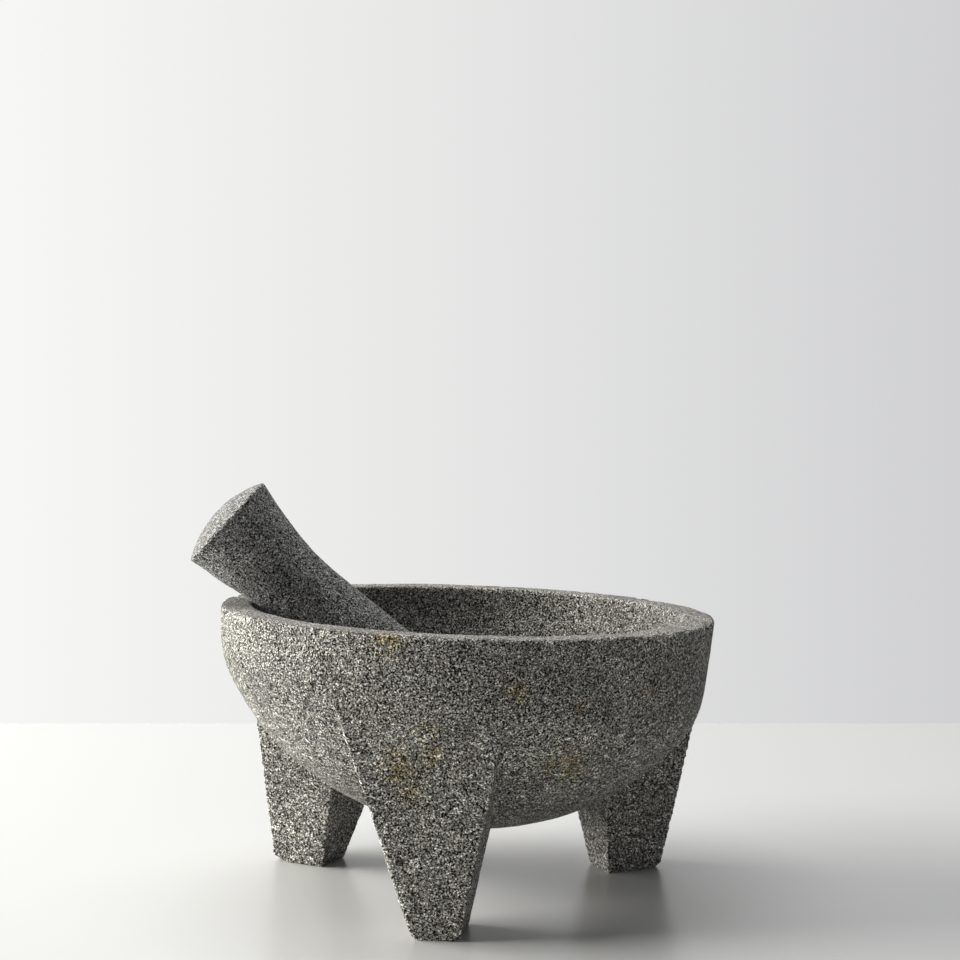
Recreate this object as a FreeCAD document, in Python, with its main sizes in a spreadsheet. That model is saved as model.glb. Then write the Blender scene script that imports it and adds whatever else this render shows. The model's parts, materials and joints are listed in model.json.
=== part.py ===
import FreeCAD, Part
import math
import os
import Sketcher
from FreeCAD import Placement, Rotation, Vector

# Molcajete: a three-legged mortar carved from one block of basalt, and the loose
# tejolote (pestle) that leans in it. Millimetres, +Z up, standing on the plane Z = 0.
# -Y is the side of the front leg and +X is to the right of somebody who faces it.
# The origin is the bottom centre of the whole object's box.

DRIVING = {
    # where the bowl stands, and how its rim plane leans
    "bowl_offset": 10.5,
    "rim_height": 188.6,
    "rim_tilt": 3.0,
    "tilt_heading": 50.0,
    # outside of the bowl: tapered wall that leans a little more than the rim's axis, with
    # spare stone above the rim to be cut away, a rounded turn, and a ball-shaped belly
    "rim_radius": 165.5,
    "wall_taper": 3.3,
    "wall_lean": 3.0,
    "wall_spare": 20.0,
    "turn_radius": 60.0,
    "belly_radius": 185.0,
    "belly_shift": 6.0,
    "bowl_depth": 146.0,
    # hollow of the bowl, and the rounding of the rim's two arrises
    "rim_width": 21.0,
    "hollow_taper": 4.0,
    "hollow_turn": 60.0,
    "floor_radius": 185.0,
    "hollow_depth": 103.0,
    "arris_radius": 1.5,
    # legs: flat-faced wedges that grow out of the wall
    "foot_width": 30.0,
    "foot_depth": 40.0,
    "leg_height": 150.0,
    "shoulder_width": 108.0,
    "shoulder_depth": 80.0,
    "front_azimuth": -8.0,
    "front_reach": 138.5,
    "front_shoulder": 152.0,
    "front_skew": -7.0,
    "right_azimuth": 112.0,
    "right_reach": 138.5,
    "right_shoulder": 155.0,
    "right_skew": 0.0,
    "left_azimuth": -119.0,
    "left_reach": 149.0,
    "left_shoulder": 142.0,
    "left_skew": 0.0,
    # tejolote: a waisted round bar with a crisp dome at the grip and a rounder working end
    "pestle_length": 223.5,
    "grip_radius": 35.7,
    "grip_dome": 9.5,
    "waist_radius": 27.0,
    "waist_station": 84.0,
    "work_radius": 34.0,
    "work_dome": 25.0,
    # how the tejolote rests
    "pestle_lean": 43.3,
    "rest_gap": 0.3,
}

LEG_SIDES = ("front", "right", "left")

# first guess at how much of the hollow's depth its straight wall takes, before the sketch solves
WALL_SHARE = 0.2
# an edge lies in the rim plane if this many points on it are this close to the plane
EDGE_SAMPLES = 9
PLANE_TOLERANCE = 0.15
FULL_TURN = 360
MM3_PER_LITRE = 1e6

UP = Vector(0, 0, 1)
RIGHT = Vector(1, 0, 0)
TOWARDS_BACK = Vector(0, 1, 0)
START, END, CENTRE = 1, 2, 3
SKETCH_ORIGIN = (-1, 1)
SKETCH_VERTICAL = -2


def make_sheet(doc):
    """Put every driving dimension in a spreadsheet cell, with its name as the alias."""
    sheet = doc.addObject("Spreadsheet::Sheet", "dims")
    for row, (name, value) in enumerate(DRIVING.items(), start=1):
        sheet.set(f"A{row}", name)
        sheet.set(f"B{row}", str(value))
        sheet.setAlias(f"B{row}", name)
    doc.recompute()
    return sheet


def bind(feature, **expressions):
    """Tie a feature's properties to expressions over the sheet."""
    for name, expression in expressions.items():
        feature.setExpression(name, expression)


def drive(sketch, name, expression, *constraint):
    """Add a sketch constraint that takes its size from an expression over the sheet."""
    size = float(sketch.evalExpression(expression))
    if constraint[0] == "Angle":
        size = math.radians(size)
    index = sketch.addConstraint(Sketcher.Constraint(*constraint, size))
    sketch.renameConstraint(index, name)
    unit = " * 1 deg" if constraint[0] == "Angle" else " * 1 mm"
    sketch.setExpression(f"Constraints.{name}", f"({expression}){unit}")


def half_outline(doc, name):
    """Start a body and a sketch on its XZ plane, whose vertical axis is the body's Z."""
    body = doc.addObject("PartDesign::Body", name)
    sketch = body.newObject("Sketcher::SketchObject", f"{name}_outline")
    plane = next(item for item in body.Origin.OriginFeatures if item.Role == "XZ_Plane")
    sketch.AttachmentSupport = (plane, [""])
    sketch.MapMode = "FlatFace"
    doc.recompute()
    return body, sketch


def constrain(sketch, *constraint):
    """Add a sketch constraint that has no size."""
    sketch.addConstraint(Sketcher.Constraint(*constraint))


def arc(centre, start, end):
    """Anticlockwise arc about a centre, from one point to another."""
    angles = [math.atan2(point.y - centre.y, point.x - centre.x) for point in (start, end)]
    return Part.ArcOfCircle(Part.Circle(centre, UP, start.distanceToPoint(centre)), *angles)


def revolve(doc, body, sketch):
    """Turn the finished outline round the vertical axis into the body's solid."""
    solid = body.newObject("PartDesign::Revolution", f"{body.Name}_turned")
    solid.Profile = sketch
    solid.ReferenceAxis = (sketch, ["V_Axis"])
    solid.Angle = FULL_TURN
    sketch.Visibility = False
    doc.recompute()


def make_hollow(doc, sheet):
    """Inside of the bowl, with the rim plane at Z = 0: tapered wall, tangent turn and floor.

    The sketch starts close to the finished outline, and its constraints bring it there.
    """
    body, sketch = half_outline(doc, "hollow")
    middle = Vector(0, 0, 0)
    lip_point = Vector(sheet.rim_radius - sheet.rim_width, 0, 0)
    bottom = Vector(0, -sheet.hollow_depth, 0)
    base_centre = bottom + Vector(0, sheet.floor_radius, 0)
    turn_centre = lip_point - Vector(sheet.hollow_turn, sheet.hollow_depth * WALL_SHARE, 0)
    turn_start = turn_centre + (turn_centre - base_centre).normalize() * sheet.hollow_turn
    turn_end = turn_centre + RIGHT * sheet.hollow_turn
    rim_line, axis_line, base_arc, turn_arc, wall_line = range(5)
    sketch.addGeometry(Part.LineSegment(lip_point, middle))
    sketch.addGeometry(Part.LineSegment(middle, bottom))
    sketch.addGeometry(arc(base_centre, bottom, turn_start))
    sketch.addGeometry(arc(turn_centre, turn_start, turn_end))
    sketch.addGeometry(Part.LineSegment(turn_end, lip_point))
    constrain(sketch, "Coincident", rim_line, END, *SKETCH_ORIGIN)
    constrain(sketch, "Horizontal", rim_line)
    constrain(sketch, "Vertical", axis_line)
    constrain(sketch, "Coincident", rim_line, END, axis_line, START)
    constrain(sketch, "Coincident", axis_line, END, base_arc, START)
    constrain(sketch, "Tangent", base_arc, END, turn_arc, START)
    constrain(sketch, "Tangent", turn_arc, END, wall_line, START)
    constrain(sketch, "Coincident", wall_line, END, rim_line, START)
    constrain(sketch, "PointOnObject", base_arc, CENTRE, SKETCH_VERTICAL)
    drive(sketch, "lip", "dims.rim_radius - dims.rim_width", "DistanceX", rim_line, END, rim_line, START)
    drive(sketch, "depth", "dims.hollow_depth", "DistanceY", axis_line, END, axis_line, START)
    drive(sketch, "base", "dims.floor_radius", "Radius", base_arc)
    drive(sketch, "turn", "dims.hollow_turn", "Radius", turn_arc)
    drive(sketch, "taper", "90 - dims.hollow_taper", "Angle", wall_line)
    revolve(doc, body, sketch)
    body.Placement = bowl_placement(sheet)
    return body


def rounded(doc, name, base, edges, radius):
    """Round the numbered edges of a solid."""
    fillet = doc.addObject("Part::Fillet", name)
    fillet.Base = base
    fillet.Edges = [(number, radius, radius) for number in edges]
    doc.recompute()
    return fillet


def numbered_edges(solid, wanted):
    """Numbers of the solid's edges, counted from 1, that meet a condition."""
    return [
        number
        for number, edge in enumerate(solid.Shape.Edges, start=1)
        if not edge.Degenerated and wanted(edge)
    ]


def make_outside(doc, sheet):
    """Outside of the bowl: a tapered plug cut to a ball below and to the rim plane above."""
    bowl = bowl_placement(sheet)
    plug = doc.addObject("Part::Cone", "plug")
    bind(
        plug,
        Height="dims.bowl_depth + dims.wall_spare",
        Radius1="dims.rim_radius - dims.bowl_depth * tan(dims.wall_taper * 1 deg)",
        Radius2="dims.rim_radius + dims.wall_spare * tan(dims.wall_taper * 1 deg)",
    )
    downwards = Placement(UP * -sheet.bowl_depth, Rotation())
    plug.Placement = bowl * Placement(Vector(), Rotation(TOWARDS_BACK, sheet.wall_lean)) * downwards
    ball = doc.addObject("Part::Sphere", "ball")
    bind(ball, Radius="dims.belly_radius")
    ball_centre = Vector(sheet.belly_shift, 0, sheet.belly_radius - sheet.bowl_depth)
    ball.Placement = bowl * Placement(ball_centre, Rotation())
    below_rim = doc.addObject("Part::Cylinder", "below_rim")
    bind(below_rim, Height="dims.bowl_depth", Radius="dims.rim_radius + dims.wall_spare")
    below_rim.Placement = bowl * downwards
    sharp = doc.addObject("Part::MultiCommon", "sharp_turn")
    sharp.Shapes = [plug, ball, below_rim]
    doc.recompute()
    turn = numbered_edges(
        sharp,
        lambda edge: isinstance(edge.Curve, Part.BSplineCurve) and not on_rim(sheet, edge),
    )
    return rounded(doc, "outside", sharp, turn, sheet.turn_radius)


def on_rim(sheet, edge):
    """Whether an edge lies in the rim plane."""
    to_bowl = bowl_placement(sheet).inverse()
    heights = [abs(to_bowl.multVec(point).z) for point in edge.discretize(EDGE_SAMPLES)]
    return max(heights) < PLANE_TOLERANCE


def bowl_placement(sheet):
    """The bowl's own frame: the rim's centre, with the axis leaned towards the tilt's heading."""
    heading = Rotation(UP, sheet.tilt_heading)
    lean = Rotation(heading.multVec(TOWARDS_BACK), sheet.rim_tilt)
    return Placement(Vector(sheet.bowl_offset, 0, sheet.rim_height), lean)


def leg(doc, sheet, side):
    """Wedge from the sole up to the shoulder, turned about the vertical to its azimuth.

    The primitive's Y is up, its X is across the leg and its Z is away from the middle.
    """
    wedge = doc.addObject("Part::Wedge", f"leg_{side}")
    bind(
        wedge,
        Ymax="dims.leg_height",
        Xmin="-dims.foot_width / 2",
        Xmax="dims.foot_width / 2",
        Zmin=f"dims.{side}_reach - dims.foot_depth",
        Zmax=f"dims.{side}_reach",
        X2min=f"dims.{side}_skew - dims.shoulder_width / 2",
        X2max=f"dims.{side}_skew + dims.shoulder_width / 2",
        Z2min=f"dims.{side}_shoulder - dims.shoulder_depth",
        Z2max=f"dims.{side}_shoulder",
    )
    wedge.Ymin = 0
    turned = Rotation(UP, getattr(sheet, f"{side}_azimuth")) * Rotation(RIGHT, 90)
    wedge.Placement = Placement(RIGHT * sheet.bowl_offset, turned)
    return wedge


def make_mortar(doc, sheet):
    """Bowl and three legs, one block of stone: outside and legs joined, then hollowed."""
    block = doc.addObject("Part::MultiFuse", "block")
    block.Shapes = [make_outside(doc, sheet)] + [leg(doc, sheet, side) for side in LEG_SIDES]
    blank = doc.addObject("Part::Cut", "mortar_blank")
    blank.Base = block
    blank.Tool = make_hollow(doc, sheet)
    doc.recompute()
    arrises = numbered_edges(blank, lambda edge: on_rim(sheet, edge))
    return rounded(doc, "mortar", blank, arrises, sheet.arris_radius)


def dome_radius(base_radius, height):
    """Radius of the ball whose cap has this base radius and height."""
    return (base_radius**2 + height**2) / (2 * height)


def flank_radius(run, flare):
    """Radius of an arc that leaves the waist parallel to the axis and flares out over a run."""
    return (run**2 + flare**2) / (2 * flare)


def make_tejolote(doc, sheet):
    """Round bar on the body's Z axis: working end at Z = 0, waist, domed grip at the top."""
    body, sketch = half_outline(doc, "tejolote")
    tip = Vector(0, 0, 0)
    crown = Vector(0, sheet.pestle_length, 0)
    work_edge = Vector(sheet.work_radius, sheet.work_dome, 0)
    grip_edge = Vector(sheet.grip_radius, sheet.pestle_length - sheet.grip_dome, 0)
    waist = Vector(sheet.waist_radius, sheet.pestle_length - sheet.waist_station, 0)
    work_ball = Vector(0, dome_radius(sheet.work_radius, sheet.work_dome), 0)
    grip_ball = crown - Vector(0, dome_radius(sheet.grip_radius, sheet.grip_dome), 0)
    work_flank = waist + RIGHT * flank_radius(waist.y - work_edge.y, work_edge.x - waist.x)
    grip_flank = waist + RIGHT * flank_radius(grip_edge.y - waist.y, grip_edge.x - waist.x)
    work_cap, lower, upper, grip_cap, axis_line = range(5)
    sketch.addGeometry(arc(work_ball, tip, work_edge))
    sketch.addGeometry(arc(work_flank, waist, work_edge))
    sketch.addGeometry(arc(grip_flank, grip_edge, waist))
    sketch.addGeometry(arc(grip_ball, grip_edge, crown))
    sketch.addGeometry(Part.LineSegment(crown, tip))
    constrain(sketch, "Coincident", axis_line, END, *SKETCH_ORIGIN)
    constrain(sketch, "Vertical", axis_line)
    constrain(sketch, "Coincident", axis_line, END, work_cap, START)
    constrain(sketch, "Coincident", work_cap, END, lower, END)
    constrain(sketch, "Tangent", lower, START, upper, END)
    constrain(sketch, "Coincident", upper, START, grip_cap, START)
    constrain(sketch, "Coincident", grip_cap, END, axis_line, START)
    for cap in (work_cap, grip_cap):
        constrain(sketch, "PointOnObject", cap, CENTRE, SKETCH_VERTICAL)
    constrain(sketch, "Horizontal", lower, CENTRE, lower, START)
    drive(sketch, "length", "dims.pestle_length", "DistanceY", axis_line, END, axis_line, START)
    drive(sketch, "work_radius", "dims.work_radius", "DistanceX", axis_line, END, work_cap, END)
    drive(sketch, "work_dome", "dims.work_dome", "DistanceY", axis_line, END, work_cap, END)
    drive(sketch, "grip_radius", "dims.grip_radius", "DistanceX", axis_line, START, grip_cap, START)
    drive(sketch, "grip_dome", "dims.grip_dome", "DistanceY", grip_cap, START, axis_line, START)
    drive(sketch, "waist_radius", "dims.waist_radius", "DistanceX", axis_line, START, lower, START)
    drive(sketch, "waist_station", "dims.waist_station", "DistanceY", lower, START, axis_line, START)
    revolve(doc, body, sketch)
    body.Placement = resting_placement(sheet)
    doc.recompute()
    return body


def circles_meet(first, first_radius, second, second_radius):
    """Lower of the two points, in the XZ plane, where two circles cross."""
    span = second - first
    along = (span.Length**2 + first_radius**2 - second_radius**2) / (2 * span.Length)
    across = math.sqrt(first_radius**2 - along**2)
    forward = Vector(span).normalize()
    sideways = forward.cross(TOWARDS_BACK)
    candidates = [first + forward * along + sideways * sign * across for sign in (-1, 1)]
    return min(candidates, key=lambda point: point.z)


def resting_placement(sheet):
    """Lean the tejolote on the inner arris of the rim, with its working end on the floor.

    Seen along Y, the working end and the floor are arcs, and so are the flank and the arris.
    Each pair keeps the rest gap when the tejolote's origin lies on a certain circle, and the
    origin goes where those two circles cross.
    """
    bowl = bowl_placement(sheet)
    turned = Rotation(TOWARDS_BACK, sheet.pestle_lean - 90)
    ball = dome_radius(sheet.work_radius, sheet.work_dome)
    ball_centre = turned.multVec(Vector(0, 0, ball))
    floor_centre = bowl.multVec(Vector(0, 0, sheet.floor_radius - sheet.hollow_depth))
    reach = sheet.floor_radius - ball - sheet.rest_gap
    flank = flank_radius(
        sheet.waist_station - sheet.grip_dome,
        sheet.grip_radius - sheet.waist_radius,
    )
    flank_local = Vector(-sheet.waist_radius - flank, 0, sheet.pestle_length - sheet.waist_station)
    flank_centre = turned.multVec(flank_local)
    lip = sheet.rim_radius - sheet.rim_width + sheet.arris_radius
    arris_centre = bowl.multVec(Vector(-lip, 0, -sheet.arris_radius))
    hook = flank - sheet.arris_radius - sheet.rest_gap
    origin = circles_meet(floor_centre - ball_centre, reach, arris_centre - flank_centre, hook)
    return Placement(Vector(origin.x, 0, origin.z), turned)


def check(doc, nodes):
    """Stop if any object failed, or any sub-part's shape is missing or not valid."""
    for item in doc.Objects:
        if "Invalid" in item.State or "Error" in item.State:
            raise RuntimeError(f"{item.Name} failed: {item.State}")
    for node in nodes:
        if node.Shape.isNull() or not node.Shape.isValid():
            raise RuntimeError(f"{node.Label} has no valid shape")


def main():
    doc = FreeCAD.newDocument("molcajete")
    sheet = make_sheet(doc)
    nodes = [make_mortar(doc, sheet), make_tejolote(doc, sheet)]
    doc.recompute()
    check(doc, nodes)
    os.makedirs("parts", exist_ok=True)
    for node in nodes:
        node.Shape.exportStep(f"parts/{node.Label}.step")
    mortar, tejolote = nodes
    print("mortar litres", round(mortar.Shape.Volume / MM3_PER_LITRE, 3))
    print("tejolote litres", round(tejolote.Shape.Volume / MM3_PER_LITRE, 3))
    print("gap at rest", round(mortar.Shape.distToShape(tejolote.Shape)[0], 3))


main()
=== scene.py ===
import json
import math

import bpy
import numpy as np
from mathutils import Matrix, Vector, noise


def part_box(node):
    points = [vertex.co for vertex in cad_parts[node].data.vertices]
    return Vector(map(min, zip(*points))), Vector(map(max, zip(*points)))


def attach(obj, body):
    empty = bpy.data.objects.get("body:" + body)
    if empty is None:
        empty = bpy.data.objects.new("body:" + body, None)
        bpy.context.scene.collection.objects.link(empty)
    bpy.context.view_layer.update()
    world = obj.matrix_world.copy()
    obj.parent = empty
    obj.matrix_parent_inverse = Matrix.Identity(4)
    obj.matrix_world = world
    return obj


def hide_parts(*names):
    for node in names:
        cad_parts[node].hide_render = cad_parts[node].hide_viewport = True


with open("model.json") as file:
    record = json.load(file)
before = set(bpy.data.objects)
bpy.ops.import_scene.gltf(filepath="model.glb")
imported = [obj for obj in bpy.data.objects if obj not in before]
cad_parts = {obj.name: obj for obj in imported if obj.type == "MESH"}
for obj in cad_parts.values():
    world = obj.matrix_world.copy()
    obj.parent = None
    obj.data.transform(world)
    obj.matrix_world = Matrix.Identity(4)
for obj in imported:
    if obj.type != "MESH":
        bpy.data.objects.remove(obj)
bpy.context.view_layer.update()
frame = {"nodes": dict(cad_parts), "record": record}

# Metres, +Z up. The front leg is on the -Y side and the tejolote leans to -X.
MM = 0.001

# camera: across the table from the bowl, a little above its rim
EYE = Vector((0.0189, -1.537, 0.4195))
LOOK_DOWN = math.radians(5.34)
LENS_MM = 86.25
CLIP_START = 0.05

# bowl and legs, as the CAD model has them
BOWL_AXIS = Vector((10.5 * MM, 0, 0))
RIM_CENTRE = Vector((10.5 * MM, 0, 188.6 * MM))
RIM_LEAN = math.radians(3.0)
RIM_HEADING = math.radians(50.0)
RIM_RADIUS = 165.5 * MM
HOLLOW_DEPTH = 103 * MM
FOOT_WIDTH = 30 * MM
FOOT_DEPTH = 40 * MM

# even skins that the stones are worked on
MORTAR_VOXEL = 1.2 * MM
TEJOLOTE_VOXEL = 1.0 * MM

# Below, a FIELD is a smooth random one: wavelength, seed, octaves. A pair of values says where a
# feature starts and where it is full.

# broken corner of the rim: place, the way that the break faces, depth, raggedness, seed
RIM_CHIP = ((171 * MM, 42 * MM, 183.5 * MM), (0.75, 0.2, 0.65), 3.2 * MM, 0.8 * MM, 17)
# broken corners of the soles: side of the sole, how flat the break is, depth
SOLE_CHIPS = {
    "sole_front": ((-1, 1.0, 2.2 * MM), (1, 1.2, 2.6 * MM)),
    "sole_right": ((-1, 1.6, 3.0 * MM), (1, 1.2, 3.2 * MM)),
    "sole_left": ((-1, 1.4, 3.6 * MM), (1, 1.6, 3.4 * MM)),
}
SOLE_RAGGED = 0.8 * MM
SOLE_CHIP_OUTWARDS = 0.5
SOLE_CHIP_SEED = 5
# how rough a break is, and how many times its depth it may reach
BREAK_WAVELENGTH = 6 * MM
BREAK_OCTAVES = 3
BREAK_REACH = 9
# old knock in the rim's inner arris: middle, reach, depth, and how its edge wanders and slopes
RIM_KNOCK = ((150 * MM, 26 * MM, 185 * MM), 8 * MM, 2.6 * MM)
KNOCK_FIELD = (5 * MM, 61, 2)
KNOCK_WANDER = 0.5
KNOCK_SLOPE = 3 * MM

# wear of the arrises: passes of smoothing, share of it that sound stretches get, field
MORTAR_WEAR = (2, 0.1, (9 * MM, 11, 3))
TEJOLOTE_WEAR = (2, 0.15, (9 * MM, 41, 3))
CRUMBLING = (0.05, 0.5)
# a point's pull inwards when an arris counts as just rubbed, and as rubbed right down
RUBBED_PULL = (0.04 * MM, 0.16 * MM)
RUBBED_PASSES = 2
# crumbs lost from the rim's outer arris: how deep, and how far the arris reaches
CRUMB_DEPTH = 1.8 * MM
CRUMB_REACH = 5 * MM
CRUMB_FIELD = (11 * MM, 23, 3)
CRUMBS = (0.2, 0.5)

# parts of the bowl, by height over the rim plane or depth under it, and distance from the axis
RIM_HEIGHT = (-1.4 * MM, -0.5 * MM)
TURN_DEPTH = (45 * MM, 70 * MM)
TURN_RADIUS = (90 * MM, 120 * MM)
INSIDE_DEPTH = (0, 2 * MM)
INSIDE_HEIGHT = (-HOLLOW_DEPTH - 5 * MM, -HOLLOW_DEPTH - MM)
# how squarely the inside faces the rim's centre
INSIDE_FACING = (0.1, 0.4)

# relief of the stones: depth, wavelength, seed, octaves
MORTAR_SWELL = (0.5 * MM, 45 * MM, 1, 1)
MORTAR_PECKING = (0.16 * MM, 13 * MM, 2, 2)
MORTAR_GRIT = (0.13 * MM, 3.6 * MM, 3, 2)
SCRAPE_FIELD = (2.6 * MM, 29, 2)
SCRAPE_DEPTH = 0.4 * MM
# how fast the scrape field runs: metres to a radian round the bowl, and to a metre outwards
SCRAPE_ROUND = 0.05
SCRAPE_OUT = 0.4
TEJOLOTE_SWELL = (0.3 * MM, 30 * MM, 51, 1)
TEJOLOTE_PECKING = (0.16 * MM, 9 * MM, 52, 2)
TEJOLOTE_GRIT = (0.14 * MM, 3.2 * MM, 53, 2)
# open pores: spacing, radius, share of the cells that hold one, seed
SMALL_PORES = (5 * MM, 1.5 * MM, 0.5, 4)
LARGE_PORES = (17 * MM, 2.6 * MM, 0.7, 5)
TEJOLOTE_PORES = (6 * MM, 1.6 * MM, 0.5, 54)
SMALL_PORE_DEPTH = 0.9 * MM
LARGE_PORE_DEPTH = 1.6 * MM
TEJOLOTE_PORE_DEPTH = 0.8 * MM
# how much of the pecking, the grit and the pores the rubbed rim has lost
RIM_LOST = (0.6, 0.7, 0.75)
# patches of the rim, rubbed smooth and painted darker, the darker tone partly painted shade:
# field, and where the patches start and are full
RIM_RUB_AND_SHADE_FIELD = (34 * MM, 37, 2)
RIM_RUBBED_AND_SHADED = (-0.6, 0.5)

# rust stains: middle and reach, in millimetres; they run deep into the stone along Y
STAINS = (
    ((-32, -147, 113), 19), ((-25, -145, 97), 15), ((-13, -148, 136), 12), ((-11, -147, 121), 12),
    ((72, -135, 110), 22), ((80, -145, 149), 8), ((124, -118, 154), 8), ((41, -158, 161), 13),
    ((-37, -163, 191), 15), ((-110, 60, 68), 9), ((30, 150, 120), 24), ((120, 110, 90), 16),
)
STAIN_STRETCH = np.array((1, 0.35, 1))
STAIN_FIELD = (6 * MM, 31, 3)
# a stain's even strength, and how much the field adds or takes
STAIN_EVEN = 0.75
STAIN_MOTTLE = 1.3

# tejolote: how steeply it leans and its grip's radius, as the CAD model has them
LEAN = math.radians(43.3)
GRIP_RADIUS = 35.7 * MM
# hand-worked waist: its station below the grip's arris, half its length, and its depth
WAIST = (-60 * MM, 38 * MM, 2.5 * MM)
WAIST_FACING = (0.1, 0.9)
# fuller stretch under the grip, on the lower side, in the same terms
FULLNESS = (-24 * MM, 13 * MM, 1.4 * MM)
FULLNESS_FACING = (0.2, 0.9)
# rubbed dome of the grip: its station, and how squarely it faces along the bar
DOME_STATION = (-0.5 * MM, 1.5 * MM)
DOME_FACING = (0.35, 0.6)

# stone colours. Tones of the single grains, from the commonest dark to the few pale crystals
MORTAR_TONES = (
    (0.0, (0.02, 0.02, 0.018)), (0.3, (0.125, 0.121, 0.108)), (0.62, (0.25, 0.243, 0.217)),
    (0.82, (0.48, 0.466, 0.42)), (1.0, (1.0, 0.98, 0.9)),
)
TEJOLOTE_TONES = (
    (0.0, (0.04, 0.04, 0.037)), (0.3, (0.16, 0.158, 0.15)), (0.66, (0.27, 0.267, 0.255)),
    (0.88, (0.5, 0.494, 0.47)), (1.0, (0.95, 0.94, 0.9)),
)
# a stone's grain size, tones, rubbed tone, and how far the rubbing hides the grains; the mortar's
# dark rubbed tone on its rim is partly painted shade
MORTAR_BASALT = (0.68 * MM, MORTAR_TONES, (0.12, 0.114, 0.1), 0.42)
TEJOLOTE_BASALT = (0.64 * MM, TEJOLOTE_TONES, (0.12, 0.118, 0.112), 0.4)
# ragged open pores: noise to a grain, its detail, and the noise where open turns to solid
PORE_SCALE = 0.55
PORE_DETAIL = 3.0
PORE_STOPS = ((0.435, 0.0), (0.465, 1.0))
PORE_SHADE = (0.025, 0.024, 0.023)
WHITE = (1.0, 1.0, 1.0)
# round pits, deeper, with painted shade in them
PIT_SHADE = (0.03, 0.028, 0.026)
PIT_SHADE_SHARE = 0.75
# shades that a cloudy noise, and the values painted on the meshes, multiply the colour by
CLOUD_SCALE = 28.0
CLOUD_DETAIL = 4.0
CLOUD_STOPS = ((0.3, 0.84), (0.7, 1.16))
# arrises lightened: partly paler rubbed stone, partly painted highlight
WEAR_AND_HIGHLIGHT_STOPS = ((0.1, 1.0), (0.8, 1.7))
# painted shade inside the bowl: the colour there is multiplied down to 0.72
INSIDE_SHADE_STOPS = ((0.0, 1.0), (1.0, 0.72))
SCRAPE_STOPS = ((0.0, 1.0), (0.5, 1.7))
RUST = (1.06, 0.87, 0.5)
RUST_SHARE = 0.75
# surface: roughness of pores and crystals, how far a pale crystal stands out, bump
ROUGHNESS_STOPS = ((0.0, 0.98), (1.0, 0.84))
CRYSTAL_HEIGHT = 0.35
BUMP_STRENGTH = 0.75
MORTAR_BUMP = 0.45 * MM
TEJOLOTE_BUMP = 0.35 * MM
STONE_SPECULAR = 0.2

# table top: left, right, front and back edges
TABLE = (-1.5, 1.5, -1.5, 0.547)
TABLE_COLOUR = (0.47, 0.47, 0.459)
TABLE_ROUGHNESS = 0.28

# studio: lights with their place, size, watts and colour, and what they look at
LIGHTS = {
    "key": ((-2.95, 0.35, 1.2), 2.5, 300.0, (1.0, 0.985, 0.95)),
    "top": ((-0.3, 0.5, 2.2), 1.8, 45.0, (0.98, 0.99, 1.0)),
    "front_fill": ((0.3, -2.6, 1.2), 1.6, 2.5, (0.95, 0.97, 1.0)),
}
LIT_POINT = Vector((0, 0, 0.12))
# backdrop: its colours at the two ends of its fade, half the fade's width, and its own fill
BACKDROP_LIT = (0.965, 0.97, 0.94)
BACKDROP_DIM = (0.60, 0.60, 0.62)
BACKDROP_FADE = 0.25
FILL_COLOUR = (0.95, 0.97, 1.0)
FILL = 0.12


# ---------------------------------------------------------------- stone meshes


def points_of(obj):
    """A mesh's vertices as rows of x, y, z."""
    flat = np.empty(len(obj.data.vertices) * 3, np.float32)
    obj.data.vertices.foreach_get("co", flat)
    return flat.reshape(-1, 3).astype(float)


def put_points(obj, points):
    """Write rows of x, y, z back to a mesh."""
    obj.data.vertices.foreach_set("co", points.astype(np.float32).ravel())
    obj.data.update()


def normals_of(obj):
    """A mesh's vertex normals as rows of x, y, z."""
    flat = np.empty(len(obj.data.vertices) * 3, np.float32)
    obj.data.vertex_normals.foreach_get("vector", flat)
    return flat.reshape(-1, 3).astype(float)


def evenly_meshed(node, name, voxel):
    """New object: a CAD node's solid remade as one closed skin of even quads."""
    obj = bpy.data.objects.new(name, node.data.copy())
    obj.data.name = name
    obj.data.materials.clear()
    bpy.context.scene.collection.objects.link(obj)
    remesh = obj.modifiers.new("even", "REMESH")
    remesh.mode = "VOXEL"
    remesh.voxel_size = voxel
    apply_modifiers(obj)
    return obj


def apply_modifiers(obj):
    """Bake an object's modifiers into its mesh."""
    graph = bpy.context.evaluated_depsgraph_get()
    made = bpy.data.meshes.new_from_object(obj.evaluated_get(graph))
    old = obj.data
    obj.modifiers.clear()
    obj.data = made
    made.name = obj.name
    bpy.data.meshes.remove(old)


class Skin:
    """A stone's surface while it is worked: points, normals and who neighbours whom."""

    def __init__(self, obj):
        self.obj = obj
        self.points = points_of(obj)
        edges = np.empty(len(obj.data.edges) * 2, np.int64)
        obj.data.edges.foreach_get("vertices", edges)
        self.edges = edges.reshape(-1, 2)
        self.normals = normals_of(obj)

    def smoothed(self, values, passes):
        """Values after each has moved half way to its neighbours' mean, several times."""
        first, second = self.edges.T
        count = len(self.points)
        links = np.bincount(first, minlength=count) + np.bincount(second, minlength=count)
        result = values.astype(float)
        columns = result.reshape(count, -1)
        for _ in range(passes):
            for column in columns.T:
                total = np.bincount(first, column[second], count)
                total += np.bincount(second, column[first], count)
                column += 0.5 * (total / links - column)
        return result

    def push(self, distance):
        """Move every point along its normal."""
        self.points = self.points + self.normals * distance[:, None]

    def refresh(self):
        """Write the points to the mesh and read its new normals."""
        put_points(self.obj, self.points)
        self.normals = normals_of(self.obj)

    def paint(self, name, values):
        """Keep a value per point on the mesh, for the material to read."""
        layer = self.obj.data.attributes.new(name, "FLOAT", "POINT")
        layer.data.foreach_set("value", values.astype(np.float32))


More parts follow.
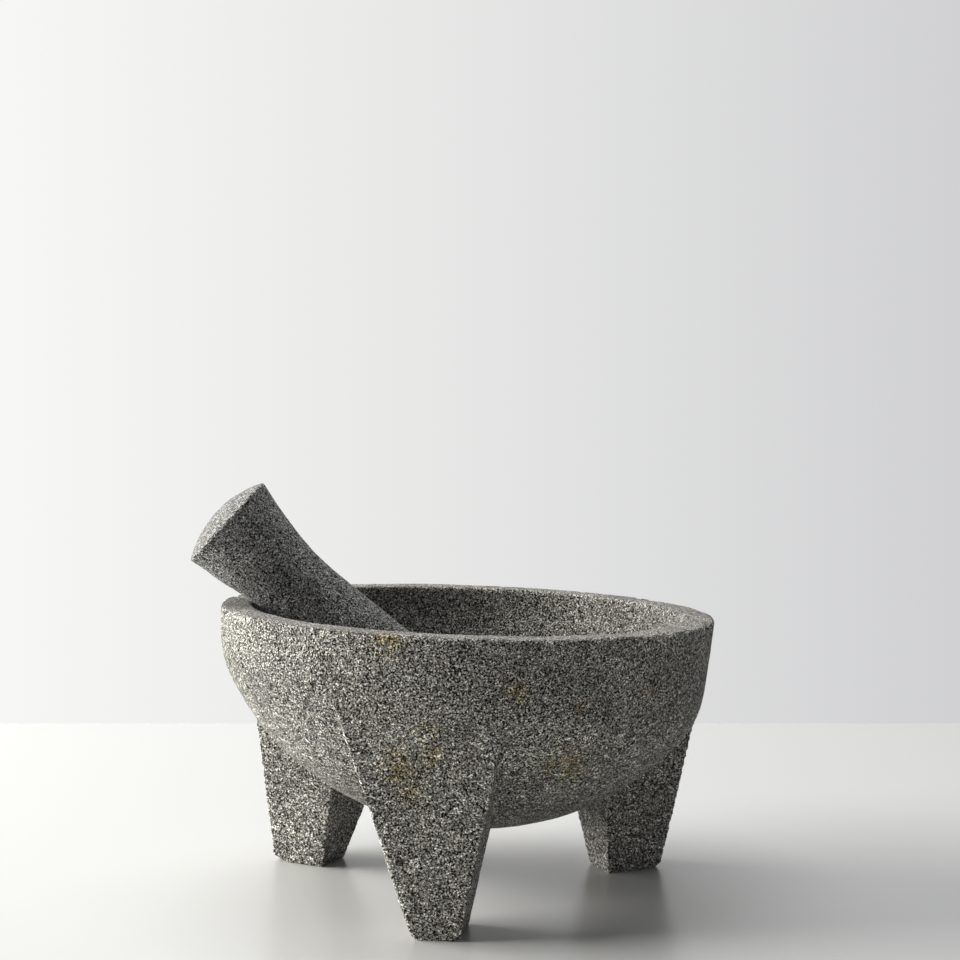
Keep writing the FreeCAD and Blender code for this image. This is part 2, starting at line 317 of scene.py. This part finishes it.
def rough(points, wavelength, seed, octaves):
    """Smooth random field, about -1 to 1, with that wavelength in metres."""
    offset = Vector((seed * 7.31, seed * 3.17, seed * 5.71))
    spots = [Vector(point) / wavelength + offset for point in points]
    if octaves == 1:
        return np.array([noise.noise(spot) for spot in spots])
    return np.array([noise.fractal(spot, 0.6, 2.0, octaves) for spot in spots])


def relief(points, depth, wavelength, seed, octaves):
    """Heights of a rough surface."""
    return depth * rough(points, wavelength, seed, octaves)


def pores(points, spacing, radius, share, seed):
    """Depth, 0 to 1, of round pits: one to a cell of the given spacing, in a share of cells."""
    offset = Vector((seed * 5.13, seed * 9.37, seed * 2.91))
    depth = np.zeros(len(points))
    for index, point in enumerate(points):
        distances, centres = noise.voronoi(Vector(point) / spacing + offset)
        near = distances[0] * spacing
        if near < radius and noise.cell(centres[0] * 4.3) < share:
            depth[index] = 1 - (near / radius) ** 2
    return depth


def step(values, low, high):
    """0 below low, 1 above high, smooth between."""
    part = np.clip((values - low) / (high - low), 0, 1)
    return part * part * (3 - 2 * part)


def chip(skin, corner, outwards, depth, ragged, seed):
    """Break a corner off along a rough plane that lies the depth inside it."""
    outwards = np.array(outwards) / np.linalg.norm(outwards)
    over = (skin.points - np.array(corner)) @ outwards + depth
    near = np.linalg.norm(skin.points - np.array(corner), axis=1) < BREAK_REACH * depth
    chosen = np.flatnonzero((over > -2 * ragged) & near)
    broken = relief(skin.points[chosen], ragged, BREAK_WAVELENGTH, seed, BREAK_OCTAVES)
    over = over[chosen] + broken
    skin.points[chosen] -= outwards * np.maximum(over, 0)[:, None]


def wear_arrises(skin, passes, least, field):
    """Round every arris a little, and more where a random field says it has crumbled.

    Returns how far each point belongs to a rubbed arris, 0 to 1; the colour is lightened there,
    partly as wear and partly as painted highlight.
    """
    change = skin.smoothed(skin.points, passes) - skin.points
    inwards = -np.einsum("ij,ij->i", change, skin.normals)
    amount = least + (1 - least) * step(rough(skin.points, *field), *CRUMBLING)
    skin.points += change * np.where(inwards < 0, 0, amount)[:, None]
    return skin.smoothed(step(inwards, *RUBBED_PULL), RUBBED_PASSES)


def bowl_frame(points):
    """Points seen from the bowl: height over the rim plane, and distance from the bowl's axis."""
    towards = np.array([math.cos(RIM_HEADING), math.sin(RIM_HEADING), 0])
    axis = towards * math.sin(RIM_LEAN) + np.array([0, 0, math.cos(RIM_LEAN)])
    out = points - np.array(RIM_CENTRE)
    height = out @ axis
    return height, np.linalg.norm(out - height[:, None] * axis, axis=1)


def sole_corners():
    """Each sole's name with its middle, its direction away from the bowl, and the one across."""
    for mount in frame["record"]["mounts"]:
        middle = Vector(mount["pos_m"])
        away = (middle - BOWL_AXIS).normalized()
        yield mount["name"], middle, away, Vector((-away.y, away.x, 0))


def chip_soles(skin):
    """Break the soles' outer corners, where a heavy mortar knocks on the table."""
    down = Vector((0, 0, -1))
    for name, middle, away, across in sole_corners():
        for side, slope, depth in SOLE_CHIPS[name]:
            corner = middle + away * FOOT_DEPTH / 2 + across * side * FOOT_WIDTH / 2
            outwards = down * slope + across * side + away * SOLE_CHIP_OUTWARDS
            chip(skin, corner, outwards, depth, SOLE_RAGGED, side + SOLE_CHIP_SEED)


def facing_hollow(skin, height):
    """How far each point belongs to the inside of the bowl, 0 to 1."""
    inwards = np.array(RIM_CENTRE) - skin.points
    inwards = np.einsum("ij,ij->i", inwards, skin.normals) / np.linalg.norm(inwards, axis=1)
    in_depth = step(height, *INSIDE_HEIGHT) * step(-height, *INSIDE_DEPTH)
    return step(inwards, *INSIDE_FACING) * in_depth


def scraped(points, height, radius):
    """Fine bands round the bowl that a scraper left, and how far each point is on the turn."""
    around = np.arctan2(points[:, 1] - BOWL_AXIS.y, points[:, 0] - BOWL_AXIS.x)
    lines = np.stack([around * SCRAPE_ROUND, height, radius * SCRAPE_OUT], axis=1)
    turn = step(-height, *TURN_DEPTH) * step(radius, *TURN_RADIUS)
    return rough(lines, *SCRAPE_FIELD), turn


def crumbled(points, height, radius):
    """Depth of the crumbs lost from the rim's outer arris."""
    arris = step(-abs(radius - RIM_RADIUS), -CRUMB_REACH, -MM) * step(height, -CRUMB_REACH, -MM)
    return CRUMB_DEPTH * arris * step(rough(points, *CRUMB_FIELD), *CRUMBS)


def knocked(points):
    """Depth of the old knock in the rim's inner arris."""
    middle, reach, depth = RIM_KNOCK
    away = np.linalg.norm(points - np.array(middle), axis=1)
    edge = reach * (1 + KNOCK_WANDER * rough(points, *KNOCK_FIELD))
    return depth * step(edge - away, 0, KNOCK_SLOPE)


def make_mortar():
    """The mortar: bowl and legs with pecked faces, open pores with painted shade in the pits,
    arrises rounded by wear and lightened partly as painted highlight, painted shade inside the
    bowl, and a rubbed rim darkened partly as painted shade.
    """
    obj = evenly_meshed(frame["nodes"]["mortar"], "mortar_stone", MORTAR_VOXEL)
    skin = Skin(obj)
    wear_and_highlight = wear_arrises(skin, *MORTAR_WEAR)
    chip_soles(skin)
    chip(skin, *RIM_CHIP)
    skin.refresh()
    points = skin.points
    height, radius = bowl_frame(points)
    rim = step(height, *RIM_HEIGHT)
    inside = facing_hollow(skin, height)
    bands, turn = scraped(points, height, radius)
    bands = bands * (1 - rim) * turn
    pecking_lost, grit_lost, pores_lost = RIM_LOST
    heights = relief(points, *MORTAR_SWELL)
    heights += relief(points, *MORTAR_PECKING) * (1 + inside) * (1 - pecking_lost * rim)
    heights += relief(points, *MORTAR_GRIT) * (1 - grit_lost * rim)
    heights += SCRAPE_DEPTH * bands
    small = pores(points, *SMALL_PORES)
    large = pores(points, *LARGE_PORES)
    hollows = np.maximum(SMALL_PORE_DEPTH * small, LARGE_PORE_DEPTH * large)
    hollows = hollows * (1 - pores_lost * rim)
    skin.push(heights - crumbled(points, height, radius) - hollows - knocked(points))
    skin.points[:, 2] = np.maximum(skin.points[:, 2], 0)
    skin.refresh()
    # rubbed rim: smoother, and darker partly as painted shade
    skin.paint("rubbed", rim * step(rough(skin.points, *RIM_RUB_AND_SHADE_FIELD), *RIM_RUBBED_AND_SHADED))
    # painted shade: the inside of the bowl is darkened in the colour
    skin.paint("inside_shade", inside)
    # arrises lightened in the colour, partly as wear and partly as painted highlight
    skin.paint("wear_and_highlight", wear_and_highlight * (1 - rim))
    skin.paint("scrape", bands)
    # painted shade in the pits
    skin.paint("hollow", np.maximum(small, large))
    skin.paint("stain", stains(skin.points))
    finish_stone(obj, "mortar", mortar_material())


def stains(points):
    """Ochre patches where iron in the stone has rusted, 0 to 1."""
    total = np.zeros(len(points))
    for middle, reach in STAINS:
        away = np.linalg.norm((points - np.array(middle) * MM) * STAIN_STRETCH, axis=1)
        total = np.maximum(total, step(-away, -reach * MM, 0))
    return np.clip(total * (STAIN_EVEN + STAIN_MOTTLE * rough(points, *STAIN_FIELD)), 0, 1)


def swelling(station, middle, half_length, depth):
    """Bell-shaped height along the tejolote."""
    return depth * np.exp(-(((station - middle) / half_length) ** 2))


def make_tejolote():
    """The tejolote: waisted bar with a crisp domed grip, finer in the grain than the mortar."""
    obj = evenly_meshed(frame["nodes"]["tejolote"], "tejolote_stone", TEJOLOTE_VOXEL)
    skin = Skin(obj)
    wear_and_highlight = wear_arrises(skin, *TEJOLOTE_WEAR)
    skin.refresh()
    points = skin.points
    along = np.array([-math.cos(LEAN), 0, math.sin(LEAN)])
    upwards = np.array([math.sin(LEAN), 0, math.cos(LEAN)])
    low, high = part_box("tejolote")
    grip_edge = np.array([low.x, 0, high.z]) + GRIP_RADIUS * np.array([upwards[0], 0, -upwards[2]])
    station = (points - grip_edge) @ along
    facing = skin.normals @ upwards
    dome = step(station, *DOME_STATION) * step(skin.normals @ along, *DOME_FACING)
    heights = relief(points, *TEJOLOTE_SWELL) + relief(points, *TEJOLOTE_PECKING)
    heights += relief(points, *TEJOLOTE_GRIT)
    heights += swelling(station, *FULLNESS) * step(-facing, *FULLNESS_FACING)
    heights -= swelling(station, *WAIST) * step(facing, *WAIST_FACING)
    pits = pores(points, *TEJOLOTE_PORES)
    skin.push(heights - TEJOLOTE_PORE_DEPTH * pits)
    skin.refresh()
    skin.paint("rubbed", dome)
    # painted shade in the pits
    skin.paint("hollow", pits)
    # arrises lightened in the colour, partly as wear and partly as painted highlight
    skin.paint("wear_and_highlight", wear_and_highlight * (1 - dome))
    finish_stone(obj, "tejolote", tejolote_material())


def finish_stone(obj, node, material):
    """Give a finished stone its material and its body, and hide the CAD node that it stands for.
    """
    obj.data.materials.append(material)
    obj.data.shade_smooth()
    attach(obj, f"{node}_body")
    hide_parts(node)


# ---------------------------------------------------------------- materials


class Nodes:
    """A material's node tree, built link by link."""

    def __init__(self, name):
        self.material = bpy.data.materials.new(name)
        self.material.use_nodes = True
        self.tree = self.material.node_tree
        self.shader = self.tree.nodes["Principled BSDF"]

    def add(self, kind, sockets=None, **settings):
        """New node; sockets gives an input's value, or the output that feeds it."""
        node = self.tree.nodes.new(kind)
        for name, value in settings.items():
            setattr(node, name, value)
        for name, value in (sockets or {}).items():
            self.feed(node, name, value)
        return node

    def feed(self, node, name, value):
        """Set an input, or link an output to it."""
        if isinstance(value, bpy.types.NodeSocket):
            self.tree.links.new(value, node.inputs[name])
        else:
            node.inputs[name].default_value = value

    def attribute(self, name):
        """A value painted on the mesh."""
        return self.add("ShaderNodeAttribute", attribute_name=name).outputs["Fac"]

    def maths(self, operation, first, second):
        """Two values added or multiplied, as the operation says."""
        return self.add("ShaderNodeMath", {0: first, 1: second}, operation=operation).outputs[0]

    def noise(self, where, scale, detail):
        """Cloudy value round 0.5."""
        sockets = {"Vector": where, "Scale": scale, "Detail": detail}
        return self.add("ShaderNodeTexNoise", sockets).outputs["Fac"]

    def ramp(self, value, *stops):
        """Colour ramp; a stop is a place and a grey, or a place and a colour."""
        node = self.add("ShaderNodeValToRGB", {"Fac": value})
        elements = node.color_ramp.elements
        while len(elements) < len(stops):
            elements.new(0.5)
        for element, (place, tone) in zip(elements, stops):
            element.position = place
            element.color = (*tone, 1) if isinstance(tone, tuple) else (tone, tone, tone, 1)
        return node.outputs["Color"]

    def mix(self, amount, first, second, blend="MIX"):
        """Blend of two colours."""
        node = self.add("ShaderNodeMix", data_type="RGBA", blend_type=blend)
        for index, value in ((0, amount), (6, first), (7, second)):
            if isinstance(value, bpy.types.NodeSocket):
                self.tree.links.new(value, node.inputs[index])
            else:
                node.inputs[index].default_value = value if index == 0 else (*value, 1)
        return node.outputs[2]

    def times(self, first, second):
        """One colour multiplied by another."""
        return self.mix(1.0, first, second, "MULTIPLY")


def basalt(name, grain, tones, rubbed_tone, rubbed_share):
    """Vesicular basalt: packed crystals, one tone to a grain, and ragged open pores.

    Returns the tree with the colour and the surface's lie, to be added to.
    """
    nodes = Nodes(name)
    place = nodes.add("ShaderNodeTexCoord").outputs["Object"]
    cells = nodes.add("ShaderNodeTexVoronoi", {"Vector": place, "Scale": 1 / grain})
    pick = nodes.add("ShaderNodeSeparateColor", {"Color": cells.outputs["Color"]}).outputs[0]
    colour = nodes.ramp(pick, *tones)
    open_pores = nodes.noise(place, PORE_SCALE / grain, PORE_DETAIL)
    lie = nodes.ramp(open_pores, *PORE_STOPS)
    colour = nodes.times(colour, nodes.mix(lie, PORE_SHADE, WHITE))
    cloud = nodes.ramp(nodes.noise(place, CLOUD_SCALE, CLOUD_DETAIL), *CLOUD_STOPS)
    colour = nodes.times(colour, cloud)
    # rubbed stone: grains hidden under an even tone; on the mortar's rim that tone is darker,
    # partly as painted shade
    rubbed = nodes.maths("MULTIPLY", nodes.attribute("rubbed"), rubbed_share)
    colour = nodes.mix(rubbed, colour, rubbed_tone)
    # arrises lightened, partly as wear and partly as painted highlight
    colour = nodes.times(colour, nodes.ramp(nodes.attribute("wear_and_highlight"), *WEAR_AND_HIGHLIGHT_STOPS))
    # painted shade in the pits
    deep = nodes.maths("MULTIPLY", nodes.attribute("hollow"), PIT_SHADE_SHARE)
    colour = nodes.mix(deep, colour, PIT_SHADE)
    lie = nodes.maths("ADD", lie, nodes.maths("MULTIPLY", pick, CRYSTAL_HEIGHT))
    return nodes, colour, lie


def finish_basalt(nodes, colour, lie, depth):
    """Link the colour, the roughness and the bump of a stone to its shader."""
    sockets = {"Height": lie, "Distance": depth, "Strength": BUMP_STRENGTH}
    dull = nodes.ramp(lie, *ROUGHNESS_STOPS)
    bump = nodes.add("ShaderNodeBump", sockets)
    nodes.feed(nodes.shader, "Base Color", colour)
    nodes.feed(nodes.shader, "Roughness", dull)
    nodes.feed(nodes.shader, "Normal", bump.outputs[0])
    nodes.feed(nodes.shader, "Specular IOR Level", STONE_SPECULAR)
    return nodes.material


def mortar_material():
    """Grey basalt with cream grains, with painted shade inside the bowl, with rust and scraped
    bands.
    """
    nodes, colour, lie = basalt("mortar_basalt", *MORTAR_BASALT)
    # painted shade inside the bowl
    colour = nodes.times(colour, nodes.ramp(nodes.attribute("inside_shade"), *INSIDE_SHADE_STOPS))
    colour = nodes.times(colour, nodes.ramp(nodes.attribute("scrape"), *SCRAPE_STOPS))
    stain = nodes.maths("MULTIPLY", nodes.attribute("stain"), RUST_SHARE)
    colour = nodes.mix(stain, colour, nodes.times(colour, RUST))
    return finish_basalt(nodes, colour, lie, MORTAR_BUMP)


def tejolote_material():
    """Darker, finer basalt, paler on the rubbed dome of the grip."""
    nodes, colour, lie = basalt("tejolote_basalt", *TEJOLOTE_BASALT)
    return finish_basalt(nodes, colour, lie, TEJOLOTE_BUMP)


def plain_material(name, colour, roughness):
    """Even colour for the floor."""
    material = bpy.data.materials.new(name)
    material.use_nodes = True
    shader = material.node_tree.nodes["Principled BSDF"]
    shader.inputs["Base Color"].default_value = (*colour, 1)
    shader.inputs["Roughness"].default_value = roughness
    return material


# ---------------------------------------------------------------- studio


def make_floor():
    """Pale table top under the soles."""
    left, right, front, back = TABLE
    mesh = bpy.data.meshes.new("floor")
    corners = [(left, front, 0), (right, front, 0), (right, back, 0), (left, back, 0)]
    mesh.from_pydata(corners, [], [(0, 1, 2, 3)])
    floor = bpy.data.objects.new("floor", mesh)
    mesh.materials.append(plain_material("floor_pale", TABLE_COLOUR, TABLE_ROUGHNESS))
    bpy.context.scene.collection.objects.link(floor)


def soft_light(name, place, size, watts, colour):
    """Square soft light that looks at the bowl's middle."""
    data = bpy.data.lights.new(name, "AREA")
    data.size = size
    data.energy = watts
    data.color = colour
    light = bpy.data.objects.new(name, data)
    light.location = place
    light.rotation_mode = "QUATERNION"
    light.rotation_quaternion = (LIT_POINT - Vector(place)).to_track_quat("-Z", "Y")
    bpy.context.scene.collection.objects.link(light)


def make_world():
    """Pale backdrop, brighter to the left, that itself gives only a low, even fill."""
    world = bpy.data.worlds.new("studio")
    world.use_nodes = True
    tree = world.node_tree
    fill = tree.nodes["Background"]
    fill.inputs["Color"].default_value = (*FILL_COLOUR, 1)
    fill.inputs["Strength"].default_value = FILL
    direction = tree.nodes.new("ShaderNodeTexCoord")
    sideways = tree.nodes.new("ShaderNodeSeparateXYZ")
    fade = tree.nodes.new("ShaderNodeMapRange")
    fade.inputs["From Min"].default_value = -BACKDROP_FADE
    fade.inputs["From Max"].default_value = BACKDROP_FADE
    tint = tree.nodes.new("ShaderNodeMix")
    tint.data_type = "RGBA"
    tint.inputs[6].default_value = (*BACKDROP_LIT, 1)
    tint.inputs[7].default_value = (*BACKDROP_DIM, 1)
    seen = tree.nodes.new("ShaderNodeBackground")
    rays = tree.nodes.new("ShaderNodeLightPath")
    choose = tree.nodes.new("ShaderNodeMixShader")
    for source, target in (
        (direction.outputs["Generated"], sideways.inputs[0]),
        (sideways.outputs["X"], fade.inputs["Value"]),
        (fade.outputs[0], tint.inputs[0]),
        (tint.outputs[2], seen.inputs["Color"]),
        (rays.outputs["Is Diffuse Ray"], choose.inputs[0]),
        (seen.outputs[0], choose.inputs[1]),
        (fill.outputs[0], choose.inputs[2]),
        (choose.outputs[0], tree.nodes["World Output"].inputs[0]),
    ):
        tree.links.new(source, target)
    bpy.context.scene.world = world


def make_camera():
    """Long lens at the front, looking slightly down."""
    data = bpy.data.cameras.new("camera")
    data.lens = LENS_MM
    data.clip_start = CLIP_START
    camera = bpy.data.objects.new("camera", data)
    camera.location = EYE
    camera.rotation_euler = (math.pi / 2 - LOOK_DOWN, 0, 0)
    bpy.context.scene.collection.objects.link(camera)
    bpy.context.scene.camera = camera


make_camera()
make_world()
for light_name, settings in LIGHTS.items():
    soft_light(light_name, *settings)
make_floor()
make_mortar()
make_tejolote()
bpy.context.scene.view_settings.view_transform = "Standard"
